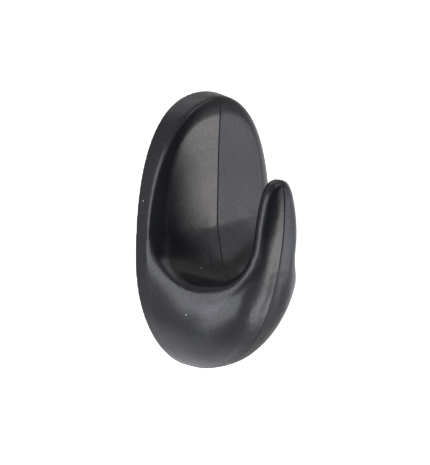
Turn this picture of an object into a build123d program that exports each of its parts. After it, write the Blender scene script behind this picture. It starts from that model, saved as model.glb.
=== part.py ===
"""Adhesive wall hook: an egg-shaped plastic moulding with an upright finger, on a foam pad.

Frame: the wall is the plane Y = 0, the hook faces -Y and +Z is up. The origin is the middle of
the pad's face on the wall. "Depth" is measured forward from the moulding's flat back.
"""

import os
from math import cos, hypot, radians, sin, tan

from build123d import *

# Egg outline of the flat back
BASE_HEIGHT = 61.0
BASE_WIDTH = 35.2
WIDEST_BELOW_MIDDLE = 4.5
TOP_SIDE_FULLNESS = 0.56
TOP_FULLNESS = 0.74
BOTTOM_SIDE_FULLNESS = 0.58
BOTTOM_FULLNESS = 0.50

# Front line of bowl and finger, seen from the side
REACH_AT_WIDEST = 26.8
FRONT_LEAN = 14.5
FRONT_FULLNESS = 1.06
BOWL_FULLNESS = 0.52

# Sides of the bowl, seen from above
WALL_DRAFT = 6.0
TOP_DRAFT = 14.0
FLANK_FULLNESS = 0.45
NOSE_FULLNESS = 0.56
BOWL_FLANK_FULLNESS = 0.63
BOWL_NOSE_FULLNESS = 0.76
UNDERSIDE_NOSE_FULLNESS = 0.95
PARTING_RIDGE = 3.0

# Front panel of the base
PANEL_DEPTH = 6.2
PANEL_TOP_DEPTH = 7.6
PANEL_ROOF = 4.7

# Notch between panel and finger
SCOOP_START = 1.8
SCOOP_LEAN = 12.5
SCOOP_LENGTH = 5.0
BEND_LENGTH = 1.2
NOTCH_BOTTOM = -9.9
NOTCH_RADIUS = 5.5
NOTCH_DISH_RADIUS = 28.0

# Finger
FINGER_THICKNESS = 6.9
FINGER_FOOT_HEIGHT = -4.0
FINGER_HEIGHT = 16.3
FINGER_LEAN = 13.3
FINGER_FLARE = 42.0
FINGER_TIP_FLARE = 48.0
TIP_FALL = 10.0
FINGER_ROUNDING = 2.0
TIP_ROUNDING = 2.4

# Edge round that runs along shoulder, notch and finger
LIP_ROUNDING = 2.0

# Foam pad on the back
PAD_THICKNESS = 1.0
PAD_MARGIN = 2.0


def at(x, depth, height):
    """Point of the moulding from its sideways place, its depth and its height."""
    return Vector(x, -PAD_THICKNESS - depth, height)


def crown(x, angle):
    """Fall of the finger's crowned inner side at x: round in the middle, then straight at the angle."""
    return hypot(x * tan(radians(angle)), FINGER_ROUNDING) - FINGER_ROUNDING


def flank_row(height, half_width, depth, draft=WALL_DRAFT, flank=FLANK_FULLNESS, nose=NOSE_FULLNESS):
    """Control points of one side of the bowl at a height, from the back to the parting line."""
    wall = flank * depth
    nose_x = nose * half_width
    return [
        at(half_width, 0, height),
        at(half_width - wall * tan(radians(draft)), wall, height),
        at(nose_x, depth - nose_x * tan(radians(PARTING_RIDGE)), height),
        at(0, depth, height),
    ]


def outer_rows():
    """Rows of control points of the outer skin: from its widest place to the top and to the bottom."""
    half_width = BASE_WIDTH / 2
    top = BASE_HEIGHT / 2
    bottom = -BASE_HEIGHT / 2
    widest = -WIDEST_BELOW_MIDDLE
    above = (top - widest) * TOP_SIDE_FULLNESS
    below = (widest - bottom) * BOTTOM_SIDE_FULLNESS
    lean = tan(radians(FRONT_LEAN))
    finger_reach = REACH_AT_WIDEST + above * lean
    top_reach = REACH_AT_WIDEST * FRONT_FULLNESS
    bowl_reach = REACH_AT_WIDEST - below * lean
    underside_reach = REACH_AT_WIDEST * BOWL_FULLNESS
    bowl = {"flank": BOWL_FLANK_FULLNESS, "nose": BOWL_NOSE_FULLNESS}
    underside = {"flank": BOWL_FLANK_FULLNESS, "nose": UNDERSIDE_NOSE_FULLNESS}
    widest_row = flank_row(widest, half_width, REACH_AT_WIDEST)
    to_top = [
        widest_row,
        flank_row(widest + above, half_width, finger_reach),
        flank_row(top, half_width * TOP_FULLNESS, top_reach, draft=TOP_DRAFT),
        flank_row(top, 0, 0),
    ]
    to_bottom = [
        widest_row,
        flank_row(widest - below, half_width, bowl_reach, **bowl),
        flank_row(bottom, half_width * BOTTOM_FULLNESS, underside_reach, **underside),
        flank_row(bottom, 0, 0),
    ]
    return to_top, to_bottom


def half_face(column):
    """Flat half of the block between one column of the outer skin and the back's middle line."""
    skin = [Bezier(*[row[column] for row in rows]) for rows in outer_rows()]
    top = at(0, 0, BASE_HEIGHT / 2)
    bottom = at(0, 0, -BASE_HEIGHT / 2)
    return Face(Wire(skin + [Line(top, bottom)]))


def outer_half():
    """Half of the egg-shaped block that the hook is cut from, right of the parting plane."""
    skins = [Face.make_bezier_surface(rows) for rows in outer_rows()]
    back = half_face(0)
    parting = half_face(-1)
    return Solid(Shell(skins + [back, parting]))


def notch_section(x):
    """Side profile of what is cut away at x: panel, notch, inner side of the finger and its tip."""
    clear = BASE_HEIGHT
    top = BASE_HEIGHT / 2
    roof = x * tan(radians(PANEL_ROOF))
    dish = x**2 / (2 * NOTCH_DISH_RADIUS)
    flare = crown(x, FINGER_FLARE)
    tip_flare = crown(x, FINGER_TIP_FLARE)
    tip_fall = crown(x, TIP_FALL)

    bend = SCOOP_START + dish / 2
    hollow = (PANEL_TOP_DEPTH - PANEL_DEPTH) / (top - SCOOP_START) ** 2
    panel_heights = [clear, top, (top + bend) / 2, bend + 3 * BEND_LENGTH / 2, bend + BEND_LENGTH / 2]
    panel = [(PANEL_DEPTH - roof + hollow * (z - bend) ** 2, z) for z in panel_heights]

    fade = max(0, 1 - (2 * x / BASE_WIDTH) ** 2)
    lean = tan(radians(SCOOP_LEAN * fade))
    scoop_falls = [BEND_LENGTH / 2, 3 * BEND_LENGTH / 2, SCOOP_LENGTH]
    scoop = [(PANEL_DEPTH - roof + fall * lean, bend - fall) for fall in scoop_falls]

    foot_depth = REACH_AT_WIDEST - FINGER_THICKNESS
    bottom_depth = (PANEL_DEPTH + foot_depth) / 2 - roof
    bottom_height = NOTCH_BOTTOM + dish
    side = NOTCH_RADIUS * sin(radians(45))
    rise = NOTCH_RADIUS * (1 - cos(radians(45)))
    bottom = [
        (bottom_depth - side, bottom_height + rise),
        (bottom_depth, bottom_height),
        (bottom_depth + side + flare, bottom_height + rise),
    ]

    finger_top = FINGER_HEIGHT - TIP_ROUNDING
    finger_run = (finger_top - FINGER_FOOT_HEIGHT) * tan(radians(FINGER_LEAN))
    top_depth = foot_depth + finger_run + tip_flare
    finger = [(foot_depth + flare, FINGER_FOOT_HEIGHT + dish), (top_depth, finger_top - tip_fall)]
    tip_depths = [top_depth + TIP_ROUNDING, top_depth + clear]
    tip = [(depth, FINGER_HEIGHT - tip_fall) for depth in tip_depths]

    points = [at(x, depth, height) for depth, height in panel + scoop + bottom + finger + tip]
    along_panel = points[1] - points[0]
    forward = Vector(0, -1, 0)
    profile = Spline(*points, tangents=[along_panel, forward])
    corner = at(x, tip_depths[-1], clear)
    return Face(Wire([profile, Line(points[-1], corner), Line(corner, points[0])]))


def hook_body():
    """The moulding: one half is cut from the block, its lip rounded, then mirrored at the parting plane."""
    half_width = BASE_WIDTH / 2
    stations = [0, half_width / 6, half_width / 3, half_width * 2 / 3, half_width * 5 / 4]
    block = outer_half()
    cutter = loft([notch_section(x) for x in stations])
    half = block - cutter
    cut_edges = new_edges(block, cutter, combined=half)
    lip = [edge for edge in cut_edges if edge.center().X > half_width / 100]
    half = fillet(lip, LIP_ROUNDING)
    return half + mirror(half, about=Plane.YZ)


def adhesive_pad():
    """Die-cut foam pad: the back's egg outline drawn in by the margin, from the moulding's back to the wall."""
    across = 1 - 2 * PAD_MARGIN / BASE_WIDTH
    along = 1 - 2 * PAD_MARGIN / BASE_HEIGHT
    outline = []
    for rows in outer_rows():
        for side in (across, -across):
            outline.append(Bezier(*[Vector(side * p.X, p.Y, along * p.Z) for p, *_ in rows]))
    return extrude(Face(Wire(outline)), PAD_THICKNESS, dir=(0, 1, 0))


os.makedirs("parts", exist_ok=True)
export_step(hook_body(), "parts/hook_body.step")
export_step(adhesive_pad(), "parts/adhesive_pad.step")
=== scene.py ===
import math

import bpy
import numpy as np
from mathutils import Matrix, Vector


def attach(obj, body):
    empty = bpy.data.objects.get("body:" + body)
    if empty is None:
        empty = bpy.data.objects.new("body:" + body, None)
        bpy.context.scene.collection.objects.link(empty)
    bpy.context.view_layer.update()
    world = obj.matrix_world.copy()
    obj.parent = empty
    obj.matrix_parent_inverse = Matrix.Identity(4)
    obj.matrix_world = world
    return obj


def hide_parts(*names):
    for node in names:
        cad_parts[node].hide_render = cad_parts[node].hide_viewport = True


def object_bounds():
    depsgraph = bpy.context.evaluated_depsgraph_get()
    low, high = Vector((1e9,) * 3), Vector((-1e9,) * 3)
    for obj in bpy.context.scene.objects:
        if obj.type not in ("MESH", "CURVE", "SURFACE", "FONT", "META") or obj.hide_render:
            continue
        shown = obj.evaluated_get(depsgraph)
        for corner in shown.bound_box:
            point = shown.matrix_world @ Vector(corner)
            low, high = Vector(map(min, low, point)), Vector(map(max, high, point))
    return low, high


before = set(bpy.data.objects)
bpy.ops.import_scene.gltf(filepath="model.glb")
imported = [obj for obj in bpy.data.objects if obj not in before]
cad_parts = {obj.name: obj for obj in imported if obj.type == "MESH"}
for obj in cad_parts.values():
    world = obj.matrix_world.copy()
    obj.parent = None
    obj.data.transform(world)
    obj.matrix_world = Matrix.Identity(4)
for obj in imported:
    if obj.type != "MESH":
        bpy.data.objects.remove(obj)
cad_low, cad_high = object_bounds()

# The hook moulding: egg-shaped base, bowl and finger in one shot of satin black ABS.
# It is injection moulded in two halves of a tool that meet at x = 0, so a fine parting line runs
# down the panel and over the finger's nose. The tool's spark-eroded skin leaves a soft grain.
MM = 0.001
ABS_BLACK = "#141518"
ABS_WORN = "#1b1c20"
ABS_IOR = 1.53
ABS_SHINE = 0.5
ABS_ROUGHNESS = (0.23, 0.30)
NOISE_MIDDLE = (0.3, 0.7)
FLOW_MM = 9.0
FLOW_DETAIL = 2.0
GRAIN_MM = 0.5
GRAIN_DETAIL = 3.0
GRAIN_ROUGHNESS = 0.6
GRAIN_STRENGTH = 0.6
GRAIN_DEPTH_MM = 0.04
GRAIN_GLINT = (0.8, 1.2)
# The parting line's near black colour is painted shade in its groove.
PARTING_PAINTED_SHADE = "#060607"
PARTING_HALF_MM = 0.21
PARTING_STRENGTH = 1.0
PARTING_DEPTH_MM = 0.15
PARTING_SHINE = 0.15
DUST = "#cfd2d6"
DUST_CELL_MM = 7.0
DUST_SPECK_MM = 0.13

# Sockets of a Mix node that mixes colours
MIX_SHARE = 0
MIX_FIRST = 6
MIX_SECOND = 7
MIX_OUT = 2


def linear(hex_colour):
    """sRGB hex to linear RGBA: a low part is divided by 12.92, any other is offset and raised to 2.4."""
    parts = np.array([int(hex_colour[i : i + 2], 16) for i in (1, 3, 5)]) / 255
    light = np.where(parts <= 0.04045, parts / 12.92, ((parts + 0.055) / 1.055) ** 2.4)
    return (*light.tolist(), 1.0)


def node(tree, kind, settings=None, links=None):
    """Adds a node: settings are properties or input values, links feed inputs, by name or number."""
    made = tree.nodes.new(kind)
    for name, value in (settings or {}).items():
        if isinstance(name, int) or name in made.inputs:
            made.inputs[name].default_value = value
        else:
            setattr(made, name, value)
    for name, source in (links or {}).items():
        tree.links.new(source, made.inputs[name])
    return made


def fresh_material(name):
    """An empty node material, its tree and its output node."""
    made = bpy.data.materials.new(name)
    made.use_nodes = True
    made.node_tree.nodes.clear()
    return made, made.node_tree, made.node_tree.nodes.new("ShaderNodeOutputMaterial")


def span(source=(0.0, 1.0), target=(0.0, 1.0)):
    """Settings of a Map Range node that takes the ends of one range to the ends of another."""
    return dict(zip(("From Min", "From Max", "To Min", "To Max"), (*source, *target)))


# Moulded ABS: a dark body under a clear skin, so the eye reads mostly soft reflections. The grain breaks
# them up a little and slow flow marks make the gloss uneven.
abs_satin, tree, surface = fresh_material("abs_satin_black")
place = node(tree, "ShaderNodeTexCoord").outputs["Object"]
flow = node(
    tree,
    "ShaderNodeTexNoise",
    {"Scale": 1 / (FLOW_MM * MM), "Detail": FLOW_DETAIL},
    {"Vector": place},
).outputs["Fac"]
grain = node(
    tree,
    "ShaderNodeTexNoise",
    {"Scale": 1 / (GRAIN_MM * MM), "Detail": GRAIN_DETAIL, "Roughness": GRAIN_ROUGHNESS},
    {"Vector": place},
).outputs["Fac"]
gloss = node(
    tree,
    "ShaderNodeMapRange",
    span(NOISE_MIDDLE, ABS_ROUGHNESS),
    {"Value": flow},
).outputs["Result"]
glint = node(
    tree,
    "ShaderNodeMapRange",
    span(NOISE_MIDDLE, GRAIN_GLINT),
    {"Value": grain},
).outputs["Result"]
grained = node(
    tree,
    "ShaderNodeBump",
    {"Strength": GRAIN_STRENGTH, "Distance": GRAIN_DEPTH_MM * MM},
    {"Height": grain},
).outputs["Normal"]
tint = node(
    tree,
    "ShaderNodeMix",
    {"data_type": "RGBA", MIX_FIRST: linear(ABS_BLACK), MIX_SECOND: linear(ABS_WORN)},
    {MIX_SHARE: flow},
).outputs[MIX_OUT]

# The parting line: a groove at x = 0, painted near black and given less shine as painted shade, that fades
# out over its half width.
across = node(tree, "ShaderNodeSeparateXYZ", None, {0: place}).outputs["X"]
off_line = node(tree, "ShaderNodeMath", {"operation": "ABSOLUTE"}, {0: across}).outputs[0]
parting = node(
    tree,
    "ShaderNodeMapRange",
    {"interpolation_type": "SMOOTHSTEP"} | span((0.0, PARTING_HALF_MM * MM), (1.0, 0.0)),
    {"Value": off_line},
).outputs["Result"]
shine = node(
    tree,
    "ShaderNodeMapRange",
    span(target=(ABS_SHINE, PARTING_SHINE)),
    {"Value": parting},
).outputs["Result"]
grooved = node(
    tree,
    "ShaderNodeBump",
    {"invert": True, "Strength": PARTING_STRENGTH, "Distance": PARTING_DEPTH_MM * MM},
    {"Height": parting, "Normal": grained},
).outputs["Normal"]
lined = node(
    tree,
    "ShaderNodeMix",
    {"data_type": "RGBA", MIX_SECOND: linear(PARTING_PAINTED_SHADE)},
    {MIX_SHARE: parting, MIX_FIRST: tint},
).outputs[MIX_OUT]

# Dust: a pale speck in the middle of the few cells whose middle lies on the surface.
dust_cells = node(
    tree,
    "ShaderNodeTexVoronoi",
    {"Scale": 1 / (DUST_CELL_MM * MM)},
    {"Vector": place},
).outputs["Distance"]
speck = node(
    tree,
    "ShaderNodeMath",
    {"operation": "LESS_THAN", 1: DUST_SPECK_MM / DUST_CELL_MM},
    {0: dust_cells},
).outputs[0]
dusty = node(
    tree,
    "ShaderNodeMix",
    {"data_type": "RGBA", MIX_SECOND: linear(DUST)},
    {MIX_SHARE: speck, MIX_FIRST: lined},
).outputs[MIX_OUT]

grainy = node(tree, "ShaderNodeMath", {"operation": "MULTIPLY"}, {0: shine, 1: glint}).outputs[0]
body = node(
    tree,
    "ShaderNodeBsdfPrincipled",
    {"IOR": ABS_IOR, "Metallic": 0.0},
    {"Base Color": dusty, "Roughness": gloss, "Specular IOR Level": grainy, "Normal": grooved},
)
tree.links.new(body.outputs["BSDF"], surface.inputs["Surface"])

# The moulding's skin: the solid's own surface, sampled evenly, because the real moulding is softer.
# The panel's margin rolls off, the finger's foot flares into the bowl's rim, the edges are eased and the
# tip is blunt. Side is taken from the parting plane, depth from the wall, inset from the egg outline.
SKIN_STEP_MM = 0.3
TOP_PULL = (0.56, 0.74)
BOTTOM_PULL = (0.58, 0.50)
WIDEST_SHARE = -0.1475
RING_POINTS = 121
PANEL_DEPTH_MM = 7.2
PANEL_ROOF_DEG = 4.7
PANEL_BEND_MM = 1.8
PANEL_HOLLOW_MM = 1.4
ROLL_WIDTH_MM = 4.8
ROLL_DROP_MM = 1.4
ROLL_BLEND_MM = 1.0
RIDGE_HALF_MM = 5.0
RIDGE_ROUND_MM = 2.0
FLATTER_DEG = 2.0
FOOT_RAISE_MM = 2.0
FLANK_FILL_MM = 1.2
TIP_FULLER_MM = 0.55
TIP_LOWER_MM = 0.25
EASE_STEPS = 200
RIM_EASE = 0.5
SHOULDER_EASE = 0.0125
FINGER_EASE = 0.06

# Zones of the skin in mm: over each measure a change grows from nothing at the first value to all at the
# second. Facing is the share of the surface's direction that points away from the wall.
ROLL_ZONE = [("inset", ROLL_WIDTH_MM, ROLL_WIDTH_MM - ROLL_BLEND_MM)]
SWELL_ZONE = [("facing", 0.5, 0.95), ("inset", 0, ROLL_WIDTH_MM)]
PANEL_ZONE = [("height", -4, 4), ("depth", 12, 10)]
FOOT_ZONE = [("side", 2, 6.5), ("side", 15, 8), ("height", -16, -7), ("height", 4, -4), ("depth", 12, 18)]
FLANK_ZONE = [
    ("side", 0, 6.5),
    ("side", 13, 6.5),
    ("height", -22, -5),
    ("height", 12, -5),
    ("depth", 16, 24),
    ("facing", -0.4, 0.2),
]
RIM_ZONE = [("height", 2, -3), ("side", 3, 6), ("depth", 4, 6.5), ("depth", 23, 17)]
SHOULDER_ZONE = [("inset", 5, 3), ("depth", 2.5, 4), ("height", -4, 4)]
FINGER_ZONE = [("height", -14, -9), ("height", 15, 9), ("side", 1, 3), ("depth", 14, 17)]
TIP_SIDE_ZONE = [("height", 8, 14), ("height", 16.3, 14), ("depth", 15, 18)]
TIP_PEAK_ZONE = [("height", 14, 16.3), ("depth", 15, 18)]


def cubic(t, first, second, third, fourth):
    """Point at t of a cubic curve: its four control values weighted by the Bernstein polynomials."""
    u = 1 - t
    return first * u**3 + 3 * second * u**2 * t + 3 * third * u * t**2 + fourth * t**3


def egg_ring(wide, tall, count):
    """Egg outline: two cubic curves a side that meet upright at the widest place, and their mirror."""
    t = (1 - np.cos(np.linspace(0, np.pi, count))) / 2
    widest = WIDEST_SHARE * tall
    above = (tall - widest) * TOP_PULL[0]
    below = (widest + tall) * BOTTOM_PULL[0]
    low_x = cubic(t, 0, wide * BOTTOM_PULL[1], wide, wide)
    low_z = cubic(t, -tall, -tall, widest - below, widest)
    high_x = cubic(t, wide, wide, wide * TOP_PULL[1], 0)
    high_z = cubic(t, widest, widest + above, tall, tall)
    side_x = np.concatenate([low_x, high_x[1:]])
    side_z = np.concatenate([low_z, high_z[1:]])
    return np.concatenate([side_x, -side_x[-2:0:-1]]), np.concatenate([side_z, side_z[-2:0:-1]])


def egg_inset(x, z, wide, tall):
    """How far inside the egg outline points lie: its reach from the middle on their line, less theirs."""
    outline_x, outline_z = egg_ring(wide, tall, RING_POINTS)
    angle = np.arctan2(outline_z, outline_x)
    order = np.argsort(angle)
    radius = np.hypot(outline_x, outline_z)
    reach = np.interp(np.arctan2(z, x), angle[order], radius[order], period=2 * np.pi)
    return reach - np.hypot(x, z)


def zone(fades, measures):
    """Share of a change at each point: the product of smooth steps, each three squares less two cubes."""
    share = 1.0
    for name, nothing, full in fades:
        t = np.clip((measures[name] - nothing) / (full - nothing), 0, 1)
        share = share * (t * t * (3 - 2 * t))
    return share


def panel_back(measures, tall):
    """How far the panel moves back: what stands out past a limit at its margin, less a swell of its sides.

    The limit is the panel's roof with its hollow, less a parabola of the distance to the roll's inner end.
    The swell is a straight slope with a rounded start beside the ridge, which makes the sides flatter.
    """
    hollow = PANEL_HOLLOW_MM * ((measures["height"] - PANEL_BEND_MM) / (tall - PANEL_BEND_MM)) ** 2
    panel = PANEL_DEPTH_MM - measures["side"] * math.tan(math.radians(PANEL_ROOF_DEG)) + hollow
    limit = panel - ROLL_DROP_MM * np.clip(1 - measures["inset"] / ROLL_WIDTH_MM, 0, 1) ** 2
    over = np.maximum(measures["depth"] - limit, 0) * zone(ROLL_ZONE, measures)
    beside = measures["side"] - RIDGE_HALF_MM
    swell = math.tan(math.radians(FLATTER_DEG)) * (np.hypot(beside, RIDGE_ROUND_MM) + beside) / 2
    return (over - swell * zone(SWELL_ZONE, measures)) * zone(PANEL_ZONE, measures)


def eased(points, ends, share, steps):
    """Smoothed points: in each step every point goes its share of the way to the mean of its neighbours."""
    count = len(points)
    first, second = ends.reshape(-1, 2).T
    neighbours = np.bincount(ends, minlength=count)
    for _ in range(steps):
        sums = [
            np.bincount(first, p[second], count) + np.bincount(second, p[first], count) for p in points.T
        ]
        points = points + share[:, None] * (np.stack(sums, axis=-1) / neighbours[:, None] - points)
    return points


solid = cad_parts["hook_body"]
skin = bpy.data.objects.new("hook_skin", solid.data.copy())
bpy.context.scene.collection.objects.link(skin)
resample = skin.modifiers.new("resample", "REMESH")
resample.mode = "VOXEL"
resample.voxel_size = SKIN_STEP_MM * MM
even = bpy.data.meshes.new_from_object(skin.evaluated_get(bpy.context.evaluated_depsgraph_get()))
skin.modifiers.clear()
skin.data = even
points = np.empty(len(even.vertices) * 3)
normals = np.empty(len(even.vertices) * 3)
ends = np.empty(len(even.edges) * 2, dtype=np.int32)
even.vertices.foreach_get("co", points)
even.vertices.foreach_get("normal", normals)
even.edges.foreach_get("vertices", ends)
points = points.reshape(-1, 3) / MM
normals = normals.reshape(-1, 3)
half_wide = cad_high[0] / MM
half_tall = cad_high[2] / MM

# Side, depth, inset and facing stay those of the solid. Height is a view of the points, so it follows
# them as they move.
measures = {
    "side": np.abs(points[:, 0]),
    "depth": -points[:, 1],
    "height": points[:, 2],
    "inset": egg_inset(points[:, 0], points[:, 2], half_wide, half_tall),
    "facing": -normals[:, 1],
}
points[:, 1] += panel_back(measures, half_tall)
points[:, 2] += FOOT_RAISE_MM * zone(FOOT_ZONE, measures)
points[:, :2] += FLANK_FILL_MM * zone(FLANK_ZONE, measures)[:, None] * normals[:, :2]
rim = RIM_EASE * zone(RIM_ZONE, measures)
shoulder = SHOULDER_EASE * zone(SHOULDER_ZONE, measures)
finger = FINGER_EASE * zone(FINGER_ZONE, measures)
points = eased(points, ends, np.maximum(np.maximum(rim, shoulder), finger), EASE_STEPS)
measures["height"] = points[:, 2]
points[:, 2] += TIP_FULLER_MM * zone(TIP_SIDE_ZONE, measures) - TIP_LOWER_MM * zone(TIP_PEAK_ZONE, measures)
even.vertices.foreach_set("co", (points * MM).ravel())
even.polygons.foreach_set("use_smooth", np.ones(len(even.polygons), dtype=bool))
even.update()
even.materials.clear()
even.materials.append(abs_satin)
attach(skin, "root")
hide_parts("hook_body")

# The adhesive pad: die-cut foam tape on the moulding's flat back, as large as the back less a small margin.
# A white closed-cell core lies between two tacky faces of pale glue; the cutting die presses the
# edge in a little, so the core is waisted between the faces.
PAD_HALF_WIDE_MM = 15.6
PAD_HALF_TALL_MM = 28.5
PAD_THICK_MM = 1.0
EDGE_ROUND_MM = 0.10
EDGE_WAIST_MM = 0.18
ROUND_POINTS = 5
CORE_POINTS = 11
FOAM_WHITE = "#e9e6de"
FOAM_SHADE = "#b3aea1"
FOAM_CELL_MM = 0.4
FOAM_PIT_MM = 0.08
FOAM_PIT_STRENGTH = 0.6
FOAM_ROUGHNESS = 0.75
FOAM_IOR = 1.48
GLUE_PALE = "#dedaca"
GLUE_YELLOW = "#cdc5a8"
GLUE_MOTTLE_MM = 5.0
GLUE_DETAIL = 4.0
GLUE_THICKER = (0.35, 0.65)
GLUE_ROUGHNESS = (0.22, 0.42)
GLUE_BUBBLE_MM = 1.8
GLUE_BLISTER_MM = 0.05
GLUE_BLISTER_STRENGTH = 0.25
GLUE_IOR = 1.47


def mesh_object(name, points, faces):
    """A smooth mesh object at the origin, from points in mm and lists of corners."""
    mesh = bpy.data.meshes.new(name)
    mesh.from_pydata((np.asarray(points) * MM).tolist(), [], faces)
    mesh.polygons.foreach_set("use_smooth", np.ones(len(mesh.polygons), dtype=bool))
    made = bpy.data.objects.new(name, mesh)
    bpy.context.scene.collection.objects.link(made)
    return made


def pad_edge():
    """Edge of the pad from the wall face to the moulding: inset and distance from the wall.

    A quarter round, then the waisted core as a squared sine, then a quarter round again.
    """
    turn = np.linspace(0, np.pi / 2, ROUND_POINTS)
    core = np.linspace(EDGE_ROUND_MM, PAD_THICK_MM - EDGE_ROUND_MM, CORE_POINTS)[1:-1]
    along = (core - EDGE_ROUND_MM) / (PAD_THICK_MM - 2 * EDGE_ROUND_MM)
    waist = EDGE_WAIST_MM * np.sin(np.pi * along) ** 2
    falling = EDGE_ROUND_MM * (1 - np.sin(turn))
    rising = EDGE_ROUND_MM * (1 - np.cos(turn))
    return np.concatenate([falling, waist, rising]), np.concatenate([rising, core, PAD_THICK_MM - falling])


edge_inset, from_wall = pad_edge()
ring_x, ring_z = egg_ring(PAD_HALF_WIDE_MM, PAD_HALF_TALL_MM, RING_POINTS)
shrink = 1 - edge_inset[:, None] / np.hypot(ring_x, ring_z)[None, :]
pad_y = np.broadcast_to(-from_wall[:, None], shrink.shape)
pad_points = np.stack([ring_x * shrink, pad_y, ring_z * shrink], axis=-1).reshape(-1, 3)
rows, columns = shrink.shape
row, column = np.meshgrid(np.arange(rows - 1), np.arange(columns), indexing="ij")
here = row * columns + column
after = row * columns + (column + 1) % columns
quads = np.stack([here, after, after + columns, here + columns], axis=-1).reshape(-1, 4)
wall_face = np.arange(columns)[::-1]
inner_face = np.arange(columns) + (rows - 1) * columns
foam_pad = mesh_object("foam_pad", pad_points, [*quads.tolist(), wall_face.tolist(), inner_face.tolist()])

# Cut foam: opened cells show as small pits with shaded rims on a soft white.
foam_core, tree, surface = fresh_material("pe_foam_core")
place = node(tree, "ShaderNodeTexCoord").outputs["Object"]
cells = node(
    tree,
    "ShaderNodeTexVoronoi",
    {"Scale": 1 / (FOAM_CELL_MM * MM)},
    {"Vector": place},
).outputs["Distance"]
foam = node(
    tree,
    "ShaderNodeMix",
    {"data_type": "RGBA", MIX_FIRST: linear(FOAM_SHADE), MIX_SECOND: linear(FOAM_WHITE)},
    {MIX_SHARE: cells},
).outputs[MIX_OUT]
pitted = node(
    tree,
    "ShaderNodeBump",
    {"Strength": FOAM_PIT_STRENGTH, "Distance": FOAM_PIT_MM * MM},
    {"Height": cells},
).outputs["Normal"]
body = node(
    tree,
    "ShaderNodeBsdfPrincipled",
    {"IOR": FOAM_IOR, "Roughness": FOAM_ROUGHNESS},
    {"Base Color": foam, "Normal": pitted},
)
tree.links.new(body.outputs["BSDF"], surface.inputs["Surface"])

# Acrylic glue: a tacky, half-gloss skin, a little yellow where it lies thicker, with trapped bubbles.
glue_skin, tree, surface = fresh_material("acrylic_glue")
place = node(tree, "ShaderNodeTexCoord").outputs["Object"]
mottle = node(
    tree,
    "ShaderNodeTexNoise",
    {"Scale": 1 / (GLUE_MOTTLE_MM * MM), "Detail": GLUE_DETAIL},
    {"Vector": place},
).outputs["Fac"]
bubbles = node(
    tree,
    "ShaderNodeTexVoronoi",
    {"Scale": 1 / (GLUE_BUBBLE_MM * MM)},
    {"Vector": place},
).outputs["Distance"]
thick = node(tree, "ShaderNodeMapRange", span(GLUE_THICKER), {"Value": mottle}).outputs["Result"]
tack = node(
    tree,
    "ShaderNodeMapRange",
    span(NOISE_MIDDLE, GLUE_ROUGHNESS),
    {"Value": mottle},
).outputs["Result"]
glue = node(
    tree,
    "ShaderNodeMix",
    {"data_type": "RGBA", MIX_FIRST: linear(GLUE_PALE), MIX_SECOND: linear(GLUE_YELLOW)},
    {MIX_SHARE: thick},
).outputs[MIX_OUT]
blister = node(
    tree,
    "ShaderNodeBump",
    {"Strength": GLUE_BLISTER_STRENGTH, "Distance": GLUE_BLISTER_MM * MM},
    {"Height": bubbles},
).outputs["Normal"]
body = node(
    tree,
    "ShaderNodeBsdfPrincipled",
    {"IOR": GLUE_IOR},
    {"Base Color": glue, "Roughness": tack, "Normal": blister},
)
tree.links.new(body.outputs["BSDF"], surface.inputs["Surface"])

foam_pad.data.materials.append(foam_core)
foam_pad.data.materials.append(glue_skin)
on_face = np.ones(len(foam_pad.data.polygons), dtype=np.int32)
on_face[ROUND_POINTS * columns : (rows - ROUND_POINTS - 1) * columns] = 0
foam_pad.data.polygons.foreach_set("material_index", on_face)
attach(foam_pad, "root")
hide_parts("adhesive_pad")

# The studio floor: a wide pale floor well below the hook that glows by itself, so it stays even and white.
# It is kept out of the hook's reflections, and the sky above is a weak even white.
WHITE = "#ffffff"
FLOOR_PALE = "#f2f2f0"
FLOOR_DROP_MM = 400.0
FLOOR_HALF_MM = 8000.0
FLOOR_ROUGHNESS = 0.8
FLOOR_GLOW = 0.92
SKY_STRENGTH = 0.42

corners = np.array([[-1, -1], [1, -1], [1, 1], [-1, 1]]) * FLOOR_HALF_MM
floor = mesh_object("floor", np.column_stack([corners, np.full(4, -FLOOR_DROP_MM)]), [(0, 1, 2, 3)])
floor_paint, tree, surface = fresh_material("pale_floor_paint")
body = node(
    tree,
    "ShaderNodeBsdfPrincipled",
    {
        "Base Color": linear(FLOOR_PALE),
        "Roughness": FLOOR_ROUGHNESS,
        "Emission Color": linear(WHITE),
        "Emission Strength": FLOOR_GLOW,
    },
)
tree.links.new(body.outputs["BSDF"], surface.inputs["Surface"])
floor.data.materials.append(floor_paint)
floor.visible_glossy = False

world = bpy.data.worlds.new("studio")
world.use_nodes = True
sky = world.node_tree.nodes["Background"]
sky.inputs["Color"].default_value = linear(WHITE)
sky.inputs["Strength"].default_value = SKY_STRENGTH
bpy.context.scene.world = world

# The soft boxes: large lamps all round, whose reflections draw the hook's forms. The right ones light the
# panel's two halves, the low ones the bowl and the finger, the left ones the crest, the others the walls.
LIGHT_WARM = "#fffaf8"
LIGHT_COOL = "#f3f5ff"
LIGHT_BLUE = "#e2e8ff"
BOX_AWAY_MM = 400


def direction(azimuth, elevation):
    """Unit vector from the hook: azimuth is 0 straight in front and grows to the right, elevation is up."""
    a = math.radians(azimuth)
    e = math.radians(elevation)
    return Vector((math.sin(a) * math.cos(e), -math.cos(a) * math.cos(e), math.sin(e)))


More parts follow.
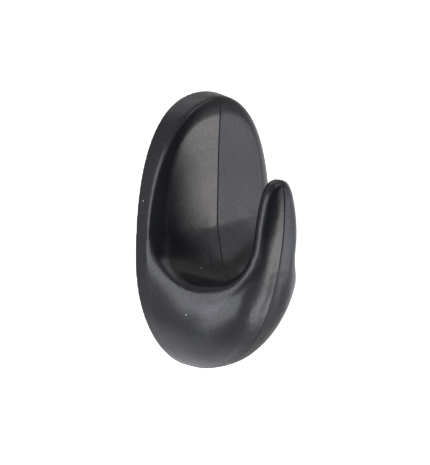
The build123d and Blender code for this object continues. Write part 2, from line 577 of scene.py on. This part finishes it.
def soft_box(name, radiance, azimuth, elevation, size_mm, away_mm=BOX_AWAY_MM, colour=LIGHT_COOL):
    """An area light of even radiance that faces the hook; its watts are radiance times area times pi."""
    width, height = (length * MM for length in size_mm)
    lamp = bpy.data.lights.new(name, "AREA")
    lamp.shape = "RECTANGLE"
    lamp.size = width
    lamp.size_y = height
    lamp.energy = radiance * width * height * math.pi
    lamp.color = linear(colour)[:3]
    made = bpy.data.objects.new(name, lamp)
    made.location = direction(azimuth, elevation) * (away_mm * MM)
    made.rotation_euler = direction(azimuth, elevation).to_track_quat("Z", "Y").to_euler()
    made.visible_camera = False
    bpy.context.scene.collection.objects.link(made)


soft_box("box_right", radiance=4.2, azimuth=31, elevation=-22, size_mm=(160, 220), colour=LIGHT_WARM)
soft_box("box_right_side", radiance=2.0, azimuth=57, elevation=-19, size_mm=(110, 220), colour=LIGHT_BLUE)
soft_box("box_right_up", radiance=0.8, azimuth=33, elevation=3, size_mm=(220, 100))
soft_box("box_front_low", radiance=4.2, azimuth=38, elevation=-50, size_mm=(140, 120))
soft_box("box_left", radiance=2.9, azimuth=-90, elevation=-8, size_mm=(300, 550), away_mm=450)
soft_box("box_left_low", radiance=2.9, azimuth=-56, elevation=-44, size_mm=(280, 180), away_mm=360)
soft_box("box_right_back", radiance=0.7, azimuth=100, elevation=-5, size_mm=(560, 500), away_mm=600)
soft_box("box_below", radiance=0.5, azimuth=180, elevation=-65, size_mm=(500, 500), away_mm=450)
soft_box("box_top", radiance=1.0, azimuth=0, elevation=60, size_mm=(600, 600), away_mm=800)
soft_box("box_top_back", radiance=0.5, azimuth=176, elevation=56, size_mm=(700, 700), away_mm=1000)

# The dark card: black felt on a stand in front of the hook, which the camera doesn't see.
# Its reflection keeps the shoulder and the finger's side deep black.
CARD_BLACK = "#020202"
CARD_AZIMUTH = -19
CARD_AWAY_MM = 300
CARD_HALF_MM = 180
CARD_LOW_MM = -190
CARD_HIGH_MM = 210
RIGHT_ANGLE = 90

card_side = direction(CARD_AZIMUTH + RIGHT_ANGLE, 0) * CARD_HALF_MM
card_middle = direction(CARD_AZIMUTH, 0) * CARD_AWAY_MM
card_left = card_middle - card_side
card_right = card_middle + card_side
card_points = [
    (*card_left.xy, CARD_LOW_MM),
    (*card_right.xy, CARD_LOW_MM),
    (*card_right.xy, CARD_HIGH_MM),
    (*card_left.xy, CARD_HIGH_MM),
]
card = mesh_object("dark_card", card_points, [(0, 1, 2, 3)])
card_felt, tree, surface = fresh_material("black_felt")
body = node(tree, "ShaderNodeBsdfDiffuse", {"Color": linear(CARD_BLACK)})
tree.links.new(body.outputs["BSDF"], surface.inputs["Surface"])
card.data.materials.append(card_felt)
card.visible_camera = False

# The camera: a long lens at the photo's angle, from the hook's left and a little above.
# The lens is shifted so that the point it is aimed at falls on that point's pixel in the photo.
CAMERA_AZIMUTH = -38.7
CAMERA_ELEVATION = 13.0
CAMERA_AWAY_MM = 600.0
CAMERA_AIM_MM = (0.0, -10.0, 0.0)
IMAGE_WIDE_PX = 430
IMAGE_HIGH_PX = 465
AIM_ACROSS_PX = 225.5
AIM_DOWN_PX = 236.8
PX_PER_MM = 4.65

towards = direction(CAMERA_AZIMUTH, CAMERA_ELEVATION)
lens = bpy.data.cameras.new("camera")
lens.sensor_fit = "HORIZONTAL"
lens.angle_x = 2 * math.atan(IMAGE_WIDE_PX / 2 / PX_PER_MM / CAMERA_AWAY_MM)
lens.shift_x = (IMAGE_WIDE_PX / 2 - AIM_ACROSS_PX) / IMAGE_WIDE_PX
lens.shift_y = (AIM_DOWN_PX - IMAGE_HIGH_PX / 2) / IMAGE_WIDE_PX
camera = bpy.data.objects.new("camera", lens)
camera.location = (Vector(CAMERA_AIM_MM) + towards * CAMERA_AWAY_MM) * MM
camera.rotation_euler = towards.to_track_quat("Z", "Y").to_euler()
bpy.context.scene.collection.objects.link(camera)
bpy.context.scene.camera = camera
bpy.context.scene.view_settings.view_transform = "Standard"
